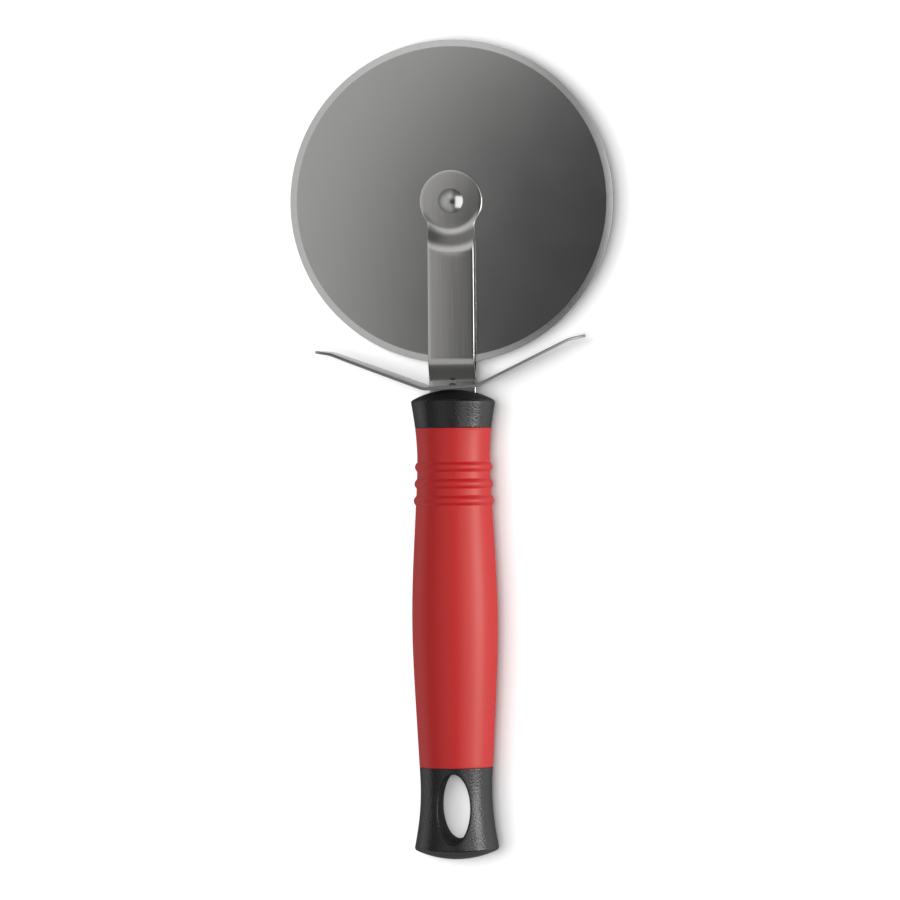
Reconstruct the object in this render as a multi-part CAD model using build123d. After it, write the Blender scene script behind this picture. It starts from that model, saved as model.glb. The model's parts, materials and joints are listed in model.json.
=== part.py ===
from build123d import *
import math
import os

os.makedirs("parts", exist_ok=True)

# A pizza cutter wheel that lies flat. The blade is level, the long axis runs along Y and the blade is at +Y.
# Every place along the tool is given as its distance behind the pivot axis.

# Blade
blade_radius = 50.0
blade_thickness = 1.0
bevel_width = 2.1
edge_thickness = 0.24

# Bush halves in the blade's bore, and the sleeve on which they run
sleeve_radius = 3.4
running_clearance = 0.05
bush_wall = 1.9
flange_radius = 7.6
flange_thickness = 0.5
side_clearance = 0.1

# Pivot rivet
rivet_radius = 2.2
rivet_clearance = 0.05
head_radius = 3.85
head_height = 1.35
head_rim = 0.3

# Fork arms, stamped from one gauge of sheet
sheet = 1.2
ear_radius = 9.7
arm_width = 14.3
neck_blend = 5.0
arm_standoff = 3.8
joggle_inset = 0.2
joggle_run = 4.8
joggle_ear_bend = 5.05
joggle_arm_bend = 3.7
lower_inset = 0.6
lower_run = 4.9
lower_bend_radius = 2.8
tang_width = 11.0
tang_corner = 2.0

# Rivet that closes the arms above the guard
fork_rivet_gap = 1.5
fork_rivet_radius = 1.3
fork_rivet_depth = 0.12

# Guard
guard_gap = 3.35
guard_sheet = 0.9
guard_span = 84.1
guard_width = 24.0
guard_flat = 8.2
guard_bend = 6.0
guard_sweep_deg = 23.25
guard_tip_bend = 18.0
guard_tip_turn_deg = 14.0
guard_tip_length = 5.0
guard_skew_deg = 2.85
guard_tilt_deg = 2.7
slot_clearance = 0.1

# Handle outline, from the collar's domed top to the end cap's domed tip
collar_gap = 0.45
dome_height = 3.5
rim_round = 0.8
collar_length = 8.4
grip_length = 104.5
cap_length = 25.4
cap_dome_height = 3.1
collar_rim_radius = 13.05
collar_foot_radius = 11.78
neck_radius = 11.18
valley_radius = 11.5
shoulder_radius = 12.0
belly_radius = 13.2
taper_radius = 12.35
tail_radius = 11.32
waist_radius = 11.06
flare_radius = 11.75
cap_rim_radius = 13.1
neck_share = 0.091
valley_share = 0.187
shoulder_share = 0.273
belly_share = 0.579
taper_share = 0.813
waist_share = 0.276
flare_share = 0.689
parting_round = 0.25

# Grip
grip_wall = 1.8
rib_count = 3
rib_pitch = 5.17
first_rib_share = 0.115
rib_height = 0.72
rib_width = 2.8
rib_blend = 0.8

# Core, with the nose that the collar fits over
fit = 0.05
collar_wall = 2.5
nose_setback = 1.0
tang_end_room = 1.5
core_web = 3.0
core_wall = 3.3

# Cross pins
pin_radius = 1.5
pin_recess = 0.3
pin_count = 2
first_pin_share = 0.3
pin_spacing = 30.0

# End cap
spigot_length = 12.0
spigot_room = 1.0
spigot_wall = 1.8
spigot_floor = 3.5
hole_width = 10.1
hole_front_wall = 1.3
hole_rear_wall = 2.1
hole_lip = 0.8

# One overrun for every cut
overrun = 1.0

# Steps of halving when the outline is searched
halvings = 30

# Places behind the pivot, each worked out from the one before it
joggle_start = ear_radius - joggle_inset
joggle_end = joggle_start + joggle_run
lower_bend = blade_radius - lower_inset
lower_end = lower_bend + lower_run
fork_rivet_place = lower_end + fork_rivet_gap
guard_place = lower_end + guard_gap
collar_top = guard_place + collar_gap
collar_rim = collar_top + dome_height
nose_end = collar_rim + nose_setback
collar_foot = collar_rim + collar_length
grip_end = collar_foot + grip_length
cap_rim = grip_end + cap_length
tip = cap_rim + cap_dome_height
core_bore_start = grip_end - spigot_length - spigot_room
core_slot_end = core_bore_start - core_web
tang_end = core_slot_end - tang_end_room
first_pin_place = nose_end + first_pin_share * (tang_end - nose_end)
pin_places = [first_pin_place + index * pin_spacing for index in range(pin_count)]

# Sizes that follow from others
pivot_y = (blade_radius + tip) / 2 - blade_radius
half_blade = blade_thickness / 2
flange_face = half_blade + flange_thickness
ear_gap = flange_face + side_clearance
bush_bore = sleeve_radius + running_clearance
bore_radius = bush_bore + bush_wall
rivet_hole_radius = rivet_radius + rivet_clearance
nose_radius = collar_foot_radius - collar_wall - fit
core_bore_radius = tail_radius - grip_wall - fit - core_wall


def behind(distance):
    """Y of a place from its distance behind the pivot axis."""
    return pivot_y - distance


def about_handle(face):
    """Turn a half section, drawn with X as radius, round the handle's axis."""
    return revolve(face, Axis.Y)


def about_pivot(face, turn=360, middle=0):
    """Turn a half section in the XZ plane round the pivot axis, evenly about a middle direction in degrees."""
    start = Rot(Z=middle - turn / 2) * face
    return Pos(0, pivot_y, 0) * revolve(start, Axis.Z, revolution_arc=turn)


def block(width, height, start, end):
    """A block on the tool's axis between two distances behind the pivot."""
    return Pos(0, behind((start + end) / 2), 0) * Box(width, end - start, height)


def slab(start, end):
    """A block wider and higher than the tool between two distances behind the pivot."""
    return block(2 * tip, 2 * tip, start, end)


def rod(radius, start, end):
    """A cylinder along the handle's axis between two distances behind the pivot."""
    return Pos(0, behind((start + end) / 2), 0) * Rot(X=90) * Cylinder(radius, end - start)


def post(radius, height, distance):
    """An upright cylinder centred on the mid plane at a distance behind the pivot."""
    return Pos(0, behind(distance), 0) * Cylinder(radius, height)


# Handle outline
grip_stations = [
    (collar_foot_radius, 0),
    (neck_radius, neck_share),
    (valley_radius, valley_share),
    (shoulder_radius, shoulder_share),
    (belly_radius, belly_share),
    (taper_radius, taper_share),
    (tail_radius, 1),
]
cap_stations = [
    (waist_radius, waist_share),
    (flare_radius, flare_share),
    (cap_rim_radius, 1),
]
grip_points = [(radius, behind(collar_foot + share * grip_length)) for radius, share in grip_stations]
cap_points = [(radius, behind(grip_end + share * cap_length)) for radius, share in cap_stations]
side = Spline([(collar_rim_radius, behind(collar_rim))] + grip_points + cap_points)


def side_radius(distance):
    """Radius of the handle's side at a distance behind the pivot, found by halving."""
    low = 0.0
    high = 1.0
    for _ in range(halvings):
        middle = (low + high) / 2
        if (side @ middle).Y > behind(distance):
            low = middle
        else:
            high = middle
    return (side @ middle).X


def dome_arc(rim_radius, height, rim_y, toward):
    """Quarter of a shallow dome, from the handle's axis to its rim."""
    dome_radius = (rim_radius**2 + height**2) / (2 * height)
    half_turn = math.asin(rim_radius / dome_radius) / 2
    top_y = rim_y + toward * height
    centre_y = top_y - toward * dome_radius
    middle = (dome_radius * math.sin(half_turn), centre_y + toward * dome_radius * math.cos(half_turn))
    return ThreePointArc((0, top_y), middle, (rim_radius, rim_y))


top_arc = dome_arc(collar_rim_radius, dome_height, behind(collar_rim), 1)
tip_arc = dome_arc(cap_rim_radius, cap_dome_height, behind(cap_rim), -1)
axis_line = Line((0, behind(tip)), (0, behind(collar_top)))
envelope = about_handle(make_face([top_arc, side, tip_arc, axis_line]))
rims = envelope.edges().filter_by(lambda edge: edge.is_closed).sort_by(Axis.Y)
envelope = fillet([rims[0], rims[-1]], rim_round)


def barrel(inset):
    """The space inside the grip's smooth outline, drawn in by an inset."""
    outline = Spline([(radius - inset, y) for radius, y in grip_points])
    front = Line((0, behind(collar_foot)), (collar_foot_radius - inset, behind(collar_foot)))
    back = Line((tail_radius - inset, behind(grip_end)), (0, behind(grip_end)))
    spine = Line((0, behind(grip_end)), (0, behind(collar_foot)))
    return about_handle(make_face([front, outline, back, spine]))


def rounded_parting(piece, distance):
    """Ease the outer edge of a piece where it meets the next one."""
    loops = piece.edges().filter_by(lambda edge: edge.is_closed)
    near = loops.sort_by(lambda edge: abs(edge.bounding_box().center().Y - behind(distance)))
    flush = near.filter_by(lambda edge: abs((edge @ 0).Y - (near[0] @ 0).Y) < fit)
    return fillet(flush.sort_by(lambda edge: edge.length)[-1], parting_round)


# Blade, ground on both faces to a narrow edge
half_edge = edge_thickness / 2
flat_radius = blade_radius - bevel_width
blade_section = Polyline(
    (bore_radius, 0, -half_blade),
    (flat_radius, 0, -half_blade),
    (blade_radius, 0, -half_edge),
    (blade_radius, 0, half_edge),
    (flat_radius, 0, half_blade),
    (bore_radius, 0, half_blade),
    close=True,
)
blade = about_pivot(make_face(blade_section))

# Bush halves, a barrel to the blade's mid plane and a flange over its face
bush_section = Polyline(
    (bush_bore, 0, 0),
    (bore_radius, 0, 0),
    (bore_radius, 0, half_blade),
    (flange_radius, 0, half_blade),
    (flange_radius, 0, flange_face),
    (bush_bore, 0, flange_face),
    close=True,
)
front_bush = about_pivot(make_face(bush_section))
rear_bush = mirror(front_bush, Plane.XY)

# Spacer sleeve between the ears
pivot_sleeve = post(sleeve_radius, 2 * ear_gap, 0) - post(rivet_hole_radius, 2 * ear_gap + overrun, 0)

# Pivot rivet, with a domed head on each ear
ear_face = ear_gap + sheet
dome_rise = head_height - head_rim
head_ball = (head_radius**2 + dome_rise**2) / (2 * dome_rise)
head_mid = math.asin(head_radius / head_ball) / 2
head_top = ear_face + head_height
head_centre = head_top - head_ball
rivet_side = Polyline(
    (0, 0, 0),
    (rivet_radius, 0, 0),
    (rivet_radius, 0, ear_face),
    (head_radius, 0, ear_face),
    (head_radius, 0, ear_face + head_rim),
)
rivet_dome = ThreePointArc(
    (head_radius, 0, ear_face + head_rim),
    (head_ball * math.sin(head_mid), 0, head_centre + head_ball * math.cos(head_mid)),
    (0, 0, head_top),
)
rivet_axis = Line((0, 0, head_top), (0, 0, 0))
half_rivet = about_pivot(make_face([rivet_side, rivet_dome, rivet_axis]))
pivot_rivet = half_rivet + mirror(half_rivet, Plane.XY)


def bent_sheet(points, gauge, radii):
    """Section of a bent strip, its inner face runs along the points and the gauge lies to their left."""
    inner = FilletPolyline(*points, radius=radii)
    return make_face(inner.offset_2d(gauge, side=Side.LEFT, closed=True).edges())


# Front arm, flat at the ear, raised by a joggle that curves round it, and bent in again below the blade
neck_turn = 2 * math.degrees(math.asin((arm_width / 2 + neck_blend) / (ear_radius + neck_blend)))
ear_section = Pos(ear_radius / 2, 0, ear_gap + sheet / 2) * Rot(X=90) * Rectangle(ear_radius, sheet)
ear_flat = about_pivot(ear_section, 360 - neck_turn, 90)
joggle_points = [(tip, 0, arm_standoff), (joggle_end, 0, arm_standoff), (joggle_start, 0, ear_gap), (0, 0, ear_gap)]
joggle_section = bent_sheet(joggle_points, sheet, [joggle_arm_bend, joggle_ear_bend])
joggle_form = about_pivot(joggle_section, neck_turn, -90)
lower_points = [
    (0, behind(0), arm_standoff),
    (0, behind(lower_bend), arm_standoff),
    (0, behind(lower_end), 0),
    (0, behind(tang_end), 0),
]
lower_form = extrude(bent_sheet(lower_points, sheet, lower_bend_radius), amount=ear_radius, both=True)
form_split = (joggle_end + lower_bend) / 2
ear_side = ear_flat + (joggle_form - slab(form_split, 2 * tip))
tang_side = lower_form & slab(form_split, 2 * tip)

ear_outline = Pos(0, behind(0), 0) * Circle(ear_radius)
arm_outline = Pos(0, behind(nose_end / 2), 0) * Rectangle(arm_width, nose_end)
neck_outline = ear_outline + arm_outline
neck_corners = neck_outline.vertices().filter_by_position(Axis.Y, behind(ear_radius), behind(0) - overrun)
neck_outline = fillet(neck_corners, neck_blend)
tang_outline = Pos(0, behind((nose_end + tang_end) / 2), 0) * Rectangle(tang_width, tang_end - nose_end)
tang_outline = fillet(tang_outline.vertices().group_by(Axis.Y)[0], tang_corner)
stamping = extrude(neck_outline + tang_outline, amount=tip, both=True)
front_arm = (ear_side + tang_side) & stamping

front_arm -= post(rivet_hole_radius, 2 * tip, 0)
front_arm -= post(fork_rivet_radius, 2 * tip, fork_rivet_place)
for place in pin_places:
    front_arm -= post(pin_radius + fit, 2 * tip, place)
rear_arm = mirror(front_arm, Plane.XY)

# Rivet that closes the arms, set just under both faces of the tang
fork_rivet = post(fork_rivet_radius, 2 * (sheet - fork_rivet_depth), fork_rivet_place)

# Guard, a leaf of sheet with swept wings and flattened tips, set a little askew on the tang
wing_x = guard_span / 2 - guard_tip_length
sweep = math.radians(guard_sweep_deg)
tip_angle = math.radians(guard_sweep_deg - guard_tip_turn_deg)
wing_y = (wing_x - guard_flat) * math.tan(sweep)
tip_y = wing_y + guard_tip_length * math.tan(tip_angle)
wing_points = [(guard_flat, 0), (wing_x, wing_y), (guard_span / 2, tip_y)]
guard_points = [(-x, y) for x, y in reversed(wing_points)] + wing_points
guard_bends = [guard_tip_bend, guard_bend, guard_bend, guard_tip_bend]
guard_strip = extrude(bent_sheet(guard_points, guard_sheet, guard_bends), amount=guard_width, both=True)
leaf = extrude(Plane.XZ * Ellipse(guard_span / 2, guard_width / 2), amount=guard_span, both=True)
guard = Pos(0, behind(guard_place), 0) * Rot(X=guard_tilt_deg) * Rot(Z=guard_skew_deg) * (guard_strip & leaf)
slot_width = arm_width + 2 * slot_clearance
slot_height = 2 * (sheet + slot_clearance)
tang_slot = block(slot_width, slot_height, lower_bend, nose_end)
guard -= tang_slot

# Collar, over the core's nose, with the tang's slot through its dome
collar = envelope & slab(0, collar_foot)
collar -= rod(nose_radius + fit, nose_end - fit, collar_foot + overrun)
collar -= tang_slot
collar = rounded_parting(collar, collar_foot)

# Core, a barrel under the grip
handle_core = barrel(grip_wall + fit) + rod(nose_radius, nose_end, collar_foot + overrun)
handle_core -= block(tang_width + 2 * fit, 2 * (sheet + fit), nose_end - overrun, core_slot_end)
handle_core -= rod(core_bore_radius, core_bore_start, grip_end + overrun)
for place in pin_places:
    handle_core -= post(pin_radius + fit, 2 * tip, place)

# Cross pins through the core and the tang
pins = []
for place in pin_places:
    pin_height = 2 * (side_radius(place) - grip_wall - pin_recess)
    pins.append(post(pin_radius, pin_height, place))
tang_pins = Compound(pins)

# Grip, a sleeve over the core with rings raised from its outline
rib_round = ((rib_width / 2) ** 2 + rib_height**2) / (2 * rib_height)
grip = envelope & slab(collar_foot, grip_end)
for index in range(rib_count):
    place = collar_foot + first_rib_share * grip_length + index * rib_pitch
    ring_radius = side_radius(place) + rib_height - rib_round
    grip += Pos(0, behind(place), 0) * Rot(X=90) * Torus(ring_radius, rib_round)
    loops = grip.edges().filter_by(lambda edge: edge.is_closed)
    flanks = loops.sort_by(lambda edge: abs(abs((edge @ 0).Y - behind(place)) - rib_width / 2))
    grip = fillet(flanks[:2], rib_blend)
grip -= barrel(grip_wall)
grip = rounded_parting(grip, collar_foot)
grip = rounded_parting(grip, grip_end)

# End cap, with a spigot in the core's bore and an oval hanging hole
spigot_radius = core_bore_radius - fit
hole_length = cap_length - hole_front_wall - hole_rear_wall
hole_centre = grip_end + hole_front_wall + hole_length / 2
end_cap = envelope & slab(grip_end, 2 * tip)
end_cap = rounded_parting(end_cap, grip_end)
end_cap += rod(spigot_radius, grip_end - spigot_length, grip_end)
end_cap -= rod(spigot_radius - spigot_wall, grip_end - spigot_length - overrun, grip_end - spigot_floor)
hole_outline = Pos(0, behind(hole_centre), 0) * Ellipse(hole_width / 2, hole_length / 2)
end_cap -= extrude(hole_outline, amount=tip, both=True)
hole_rims = end_cap.edges().filter_by(
    lambda edge: edge.is_closed and abs(edge.bounding_box().center().Y - behind(hole_centre)) < fit
)
end_cap = fillet(hole_rims, hole_lip)

pieces = {
    "blade": blade,
    "front_bush": front_bush,
    "rear_bush": rear_bush,
    "pivot_sleeve": pivot_sleeve,
    "pivot_rivet": pivot_rivet,
    "front_arm": front_arm,
    "rear_arm": rear_arm,
    "fork_rivet": fork_rivet,
    "guard": guard,
    "collar": collar,
    "handle_core": handle_core,
    "tang_pins": tang_pins,
    "grip": grip,
    "end_cap": end_cap,
}

# The tool is raised until it stands on z = 0
axis_height = -min(piece.bounding_box().min.Z for piece in pieces.values())
for name, piece in pieces.items():
    export_step(Pos(0, 0, axis_height) * piece, f"parts/{name}.step")
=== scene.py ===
import bmesh
import bpy
import json
import math
from mathutils import Matrix, Vector

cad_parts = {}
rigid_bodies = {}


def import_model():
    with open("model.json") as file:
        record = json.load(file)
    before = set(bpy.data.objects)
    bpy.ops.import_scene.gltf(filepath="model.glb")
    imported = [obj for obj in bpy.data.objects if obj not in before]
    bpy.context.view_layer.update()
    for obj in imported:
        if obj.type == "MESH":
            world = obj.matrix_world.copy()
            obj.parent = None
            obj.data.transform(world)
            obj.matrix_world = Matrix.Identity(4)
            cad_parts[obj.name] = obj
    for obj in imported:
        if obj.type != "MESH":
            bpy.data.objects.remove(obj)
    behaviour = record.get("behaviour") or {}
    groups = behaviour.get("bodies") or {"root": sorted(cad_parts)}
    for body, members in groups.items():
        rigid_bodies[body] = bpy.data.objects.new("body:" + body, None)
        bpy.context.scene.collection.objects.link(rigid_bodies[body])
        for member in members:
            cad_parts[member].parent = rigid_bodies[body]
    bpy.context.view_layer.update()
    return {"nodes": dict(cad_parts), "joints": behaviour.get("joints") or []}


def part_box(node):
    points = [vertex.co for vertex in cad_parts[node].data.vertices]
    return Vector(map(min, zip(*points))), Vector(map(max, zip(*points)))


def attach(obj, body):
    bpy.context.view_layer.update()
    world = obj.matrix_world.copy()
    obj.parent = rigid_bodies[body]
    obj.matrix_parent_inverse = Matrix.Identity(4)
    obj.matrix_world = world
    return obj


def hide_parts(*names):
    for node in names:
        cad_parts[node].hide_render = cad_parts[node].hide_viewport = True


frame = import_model()

# Blade
# A disc of hard stainless sheet, 1 mm thick, turned in one setting: both faces are ground with a fine
# slanting grain, then a bevel is ground on each face down to a narrow edge. It turns on the bushes.
mm = 0.001
pivot = Vector(frame["joints"][0]["pos_m"])
blade_low, blade_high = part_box("blade")
blade_radius = (blade_high.x - blade_low.x) / 2
blade_half = (blade_high.z - blade_low.z) / 2
blade_bore = 5.35 * mm
bevel_width = 2.1 * mm
edge_half = 0.12 * mm
crest = 0.12 * mm
grain_turn_deg = 22.5
grain_gap = 0.3 * mm
grain_run = 9 * mm
weld = 0.0005 * mm


def placed(name, data):
    """An object for a mesh, a lamp or a camera, in the scene."""
    piece = bpy.data.objects.new(name, data)
    bpy.context.scene.collection.objects.link(piece)
    return piece


def finished(name, points, faces, crease_deg=28):
    """A closed mesh object with its doubles merged, its faces outwards and its creases sharp."""
    mesh = bpy.data.meshes.new(name)
    mesh.from_pydata([tuple(point) for point in points], [], faces)
    work = bmesh.new()
    work.from_mesh(mesh)
    bmesh.ops.remove_doubles(work, verts=work.verts, dist=weld)
    bmesh.ops.dissolve_degenerate(work, dist=weld, edges=work.edges)
    bmesh.ops.delete(work, geom=[vert for vert in work.verts if not vert.link_faces], context="VERTS")
    bmesh.ops.recalc_face_normals(work, faces=work.faces)
    work.to_mesh(mesh)
    work.free()
    mesh.shade_smooth()
    mesh.set_sharp_from_angle(angle=math.radians(crease_deg))
    return placed(name, mesh)


def round_pivot(radius, place, turn):
    """A point at a height above the blade's mid plane, turned about the pivot."""
    return pivot + Vector((radius * math.cos(turn), radius * math.sin(turn), place))


def turned(name, outline, place_at, sides=192, crease_deg=28):
    """A solid turned from a closed outline of (radius, place) pairs."""
    points = []
    for s in range(sides):
        turn = 2 * math.pi * s / sides
        points += [place_at(radius, place, turn) for radius, place in outline]
    count = len(outline)
    faces = []
    for s in range(sides):
        here = s * count
        there = (s + 1) % sides * count
        for i in range(count):
            j = (i + 1) % count
            if outline[i][0] > 0 or outline[j][0] > 0:
                faces.append((here + i, here + j, there + j, there + i))
    return finished(name, points, faces, crease_deg)


def linear(colour):
    """An sRGB hex value as the linear colour that a shader takes."""
    parts = [int(colour[i : i + 2], 16) / 255 for i in (1, 3, 5)]
    return [part / 12.92 if part <= 0.04045 else ((part + 0.055) / 1.055) ** 2.4 for part in parts] + [1]


def add(tree, kind, inputs, **settings):
    """Add a node with its settings. The inputs are values, or sockets that it is linked to."""
    node = tree.nodes.new(kind)
    for name, value in settings.items():
        setattr(node, name, value)
    for name, value in inputs.items():
        if isinstance(value, bpy.types.NodeSocket):
            tree.links.new(value, node.inputs[name])
        else:
            node.inputs[name].default_value = value
    return node


def new_material(name, **constants):
    """A material, its tree, its shader, and the place of each point on the piece that wears it. The shader's
    constants are named with underscores for spaces."""
    material = bpy.data.materials.new(name)
    material.use_nodes = True
    tree = material.node_tree
    shader = tree.nodes["Principled BSDF"]
    for key, value in constants.items():
        shader.inputs[key.replace("_", " ")].default_value = value
    where = add(tree, "ShaderNodeTexCoord", {}).outputs["Object"]
    return material, tree, shader, where


def drive(shader, **patterns):
    """Link patterns to a shader's inputs, which are named with underscores for spaces."""
    for key, pattern in patterns.items():
        shader.id_data.links.new(pattern, shader.inputs[key.replace("_", " ")])


bevel_radius = blade_radius - bevel_width
blade_upper = [
    (blade_bore, blade_half),
    (bevel_radius - crest, blade_half),
    (bevel_radius, blade_half - crest / 20),
    (bevel_radius + crest, blade_half - crest * (blade_half - edge_half) / bevel_width),
    (blade_radius - crest / 3, edge_half + crest / 8),
    (blade_radius, edge_half / 2),
]
blade_outline = blade_upper + [(radius, -place) for radius, place in reversed(blade_upper)]
blade = turned("blade_disc", blade_outline, round_pivot, sides=256, crease_deg=5)

# Ground stainless steel: a satin mirror whose grain runs one way and smears what it reflects across it.
# The real grit lines are too fine for the picture, so they are drawn 0.3 mm apart.
ground_steel, tree, shader, where = new_material("ground_stainless_steel", Metallic=1.0)
slant = {
    "Vector": where,
    "Rotation": (0, 0, math.radians(grain_turn_deg)),
    "Scale": (grain_gap, grain_run, grain_gap),
}
grain_axes = add(tree, "ShaderNodeMapping", slant, vector_type="TEXTURE")
grain = add(tree, "ShaderNodeTexNoise", {"Vector": grain_axes.outputs[0], "Scale": 1.0, "Detail": 3.0})
clouds = add(tree, "ShaderNodeTexNoise", {"Vector": where, "Scale": 1 / (14 * mm), "Detail": 2.0})
tones = {"Factor": grain.outputs["Fac"], "A": linear("#B9B9B8"), "B": linear("#BFBFBE")}
tone = add(tree, "ShaderNodeMix", tones, data_type="RGBA")
blur = add(tree, "ShaderNodeMapRange", {"Value": clouds.outputs["Fac"], "To Min": 0.14, "To Max": 0.17})
ground_in = {"Height": grain.outputs["Fac"], "Strength": 0.04, "Distance": 0.01 * mm}
lines = add(tree, "ShaderNodeBump", ground_in)
drive(shader, Base_Color=tone.outputs["Result"], Roughness=blur.outputs[0], Normal=lines.outputs[0])

# Honed stainless steel: the bevel is finer than the faces and a little brighter.
honed_steel, tree, shader, where = new_material("honed_stainless_steel", Metallic=1.0, Roughness=0.2)
fine = add(tree, "ShaderNodeTexNoise", {"Vector": where, "Scale": 1 / (1.5 * mm), "Detail": 2.0})
tones = {"Factor": fine.outputs["Fac"], "A": linear("#C8C8C7"), "B": linear("#D2D2D1")}
tone = add(tree, "ShaderNodeMix", tones, data_type="RGBA")
drive(shader, Base_Color=tone.outputs["Result"])

blade.data.materials.append(ground_steel)
blade.data.materials.append(honed_steel)
for face in blade.data.polygons:
    if (face.center - pivot).xy.length > bevel_radius + crest / 2:
        face.material_index = 1
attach(blade, "wheel")
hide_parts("blade")

# Bushes
# Two flanged half-bushes of natural acetal, moulded and pressed into the blade's bore from either face.
# Their flanges keep the blade off the arms.

# Moulded acetal: milky, a little see-through at the skin, with a soft low gloss.
acetal, tree, shader, where = new_material(
    "moulded_acetal", Roughness=0.38, IOR=1.48, Subsurface_Weight=0.15, Subsurface_Scale=0.6 * mm
)
skin = add(tree, "ShaderNodeTexNoise", {"Vector": where, "Scale": 1 / (0.8 * mm), "Detail": 2.0})
tones = {"Factor": skin.outputs["Fac"], "A": linear("#E4E1D6"), "B": linear("#EFEDE4")}
tone = add(tree, "ShaderNodeMix", tones, data_type="RGBA")
drive(shader, Base_Color=tone.outputs["Result"])


def coat(name, material):
    """Give a CAD piece that stays in view its real material."""
    slots = frame["nodes"][name].data.materials
    slots.clear()
    slots.append(material)


coat("front_bush", acetal)
coat("rear_bush", acetal)

# Spacer sleeve
# A short tube of turned steel between the ears, on which the bushes run. The rivet clamps it, so it keeps
# the arms apart.

# Turned steel: the tool has left fine rings round the tube, which make its gloss uneven.
turned_steel, tree, shader, where = new_material("turned_steel", Metallic=1.0)
rings_at = {"Vector": where, "Scale": (1 / (4 * mm), 1 / (4 * mm), 1 / (0.12 * mm))}
rings = add(tree, "ShaderNodeMapping", rings_at)
cuts = add(tree, "ShaderNodeTexNoise", {"Vector": rings.outputs[0], "Scale": 1.0})
tones = {"Factor": cuts.outputs["Fac"], "A": linear("#A9A8A6"), "B": linear("#C4C3C0")}
tone = add(tree, "ShaderNodeMix", tones, data_type="RGBA")
blur = add(tree, "ShaderNodeMapRange", {"Value": cuts.outputs["Fac"], "To Min": 0.25, "To Max": 0.4})
drive(shader, Base_Color=tone.outputs["Result"], Roughness=blur.outputs[0])
coat("pivot_sleeve", turned_steel)

# Fork arms
# Two stampings of 1.2 mm stainless strip, brushed lengthways before they are blanked, so the blanked edge
# is rolled over on the outer face. Each is joggled round its ear and bent in to the tang below the blade.
sheet = 1.2 * mm
ear_radius = 9.7 * mm
arm_half = 7.15 * mm
neck_blend = 5 * mm
tang_half = 5.5 * mm
tang_corner = 2 * mm
end_crown = 0.05 * mm
ear_gap = 1.1 * mm
arm_standoff = 3.8 * mm
arm_length = pivot.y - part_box("front_arm")[0].y
shoulder = 62.6 * mm
shoulder_step = 0.4 * mm
inner_corners = [
    (10.3 * mm, ear_gap, 7.5 * mm),
    (15.0 * mm, arm_standoff, 6.0 * mm),
    (49.8 * mm, arm_standoff, 5.0 * mm),
    (54.8 * mm, 0.0, 2.6 * mm),
]
flat_middle = 32 * mm
lift_start = 1.5 * mm
lift_end = 6.5 * mm
arm_crown = 0.09 * mm
ear_crown = 0.15 * mm
edge_fall = 0.05 * mm
edge_fall_width = 1.1 * mm
rolled_edge = 0.22 * mm
cut_edge = 0.15 * mm
rivet_hole = 2.25 * mm
fork_rivet_place = 55.8 * mm
fork_rivet_hole = 1.32 * mm
pin_hole = 1.55 * mm
pin_radius = 1.5 * mm
pins_low, pins_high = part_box("tang_pins")
pin_places = [pivot.y - pins_high.y + pin_radius, pivot.y - pins_low.y - pin_radius]
upper_bends_end = 16 * mm
lower_bends_start = 48 * mm
lower_bends_end = 57 * mm
crown_blend_start = 6 * mm
crown_blend_length = 8 * mm
drill_length = 40 * mm


def corner_slopes(corners):
    """Each (place, height, radius) corner of a strip with level ends, and the slopes before and after it."""
    run = [(corners[0][0] - flat_middle, corners[0][1])] + corners
    run.append((corners[-1][0] + flat_middle, corners[-1][1]))
    for before, corner, after in zip(run, run[1:], run[2:]):
        slope_in = math.atan2(corner[1] - before[1], corner[0] - before[0])
        slope_out = math.atan2(after[1] - corner[1], after[0] - corner[0])
        yield corner, slope_in, slope_out


def bent_height(place, corners):
    """Height of a bent strip at a place along it."""
    for corner, slope_in, slope_out in corner_slopes(corners):
        reach = corner[2] * math.tan(abs(slope_out - slope_in) / 2)
        start = corner[0] - reach * math.cos(slope_in)
        end = corner[0] + reach * math.cos(slope_out)
        if start <= place <= end:
            side = 1 if slope_out > slope_in else -1
            centre = start - side * corner[2] * math.sin(slope_in)
            level = corner[1] - reach * math.sin(slope_in) + side * corner[2] * math.cos(slope_in)
            return level - side * math.sqrt(corner[2] ** 2 - (place - centre) ** 2)
        if place < start:
            return corner[1] - (corner[0] - place) * math.tan(slope_in)
    return corners[-1][1]


def outer_side(corners, gauge):
    """The corners of a bent strip's other face, one gauge above the first."""
    moved = []
    for corner, slope_in, slope_out in corner_slopes(corners):
        middle = (slope_in + slope_out) / 2
        stretch = gauge / math.cos((slope_out - slope_in) / 2)
        place = corner[0] - stretch * math.sin(middle)
        height = corner[1] + stretch * math.cos(middle)
        radius = corner[2] - gauge if slope_out > slope_in else corner[2] + gauge
        moved.append((place, height, radius))
    return moved


def arm_face(corners, base):
    """The height of one face of the arm over a point, from the mid plane."""

    def height(across, place):
        if place > flat_middle:
            return bent_height(place, corners)
        raised = bent_height(math.hypot(across, max(place, 0)), corners)
        lift = min(max((place - lift_start) / (lift_end - lift_start), 0), 1)
        return base + (raised - base) * lift**2 * (3 - 2 * lift)

    return height


def steps(start, end, gap):
    """Even steps from a start to an end, no wider than a gap, without the end."""
    count = max(1, math.ceil(abs(end - start) / gap))
    return [start + (end - start) * i / count for i in range(count)]


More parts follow.
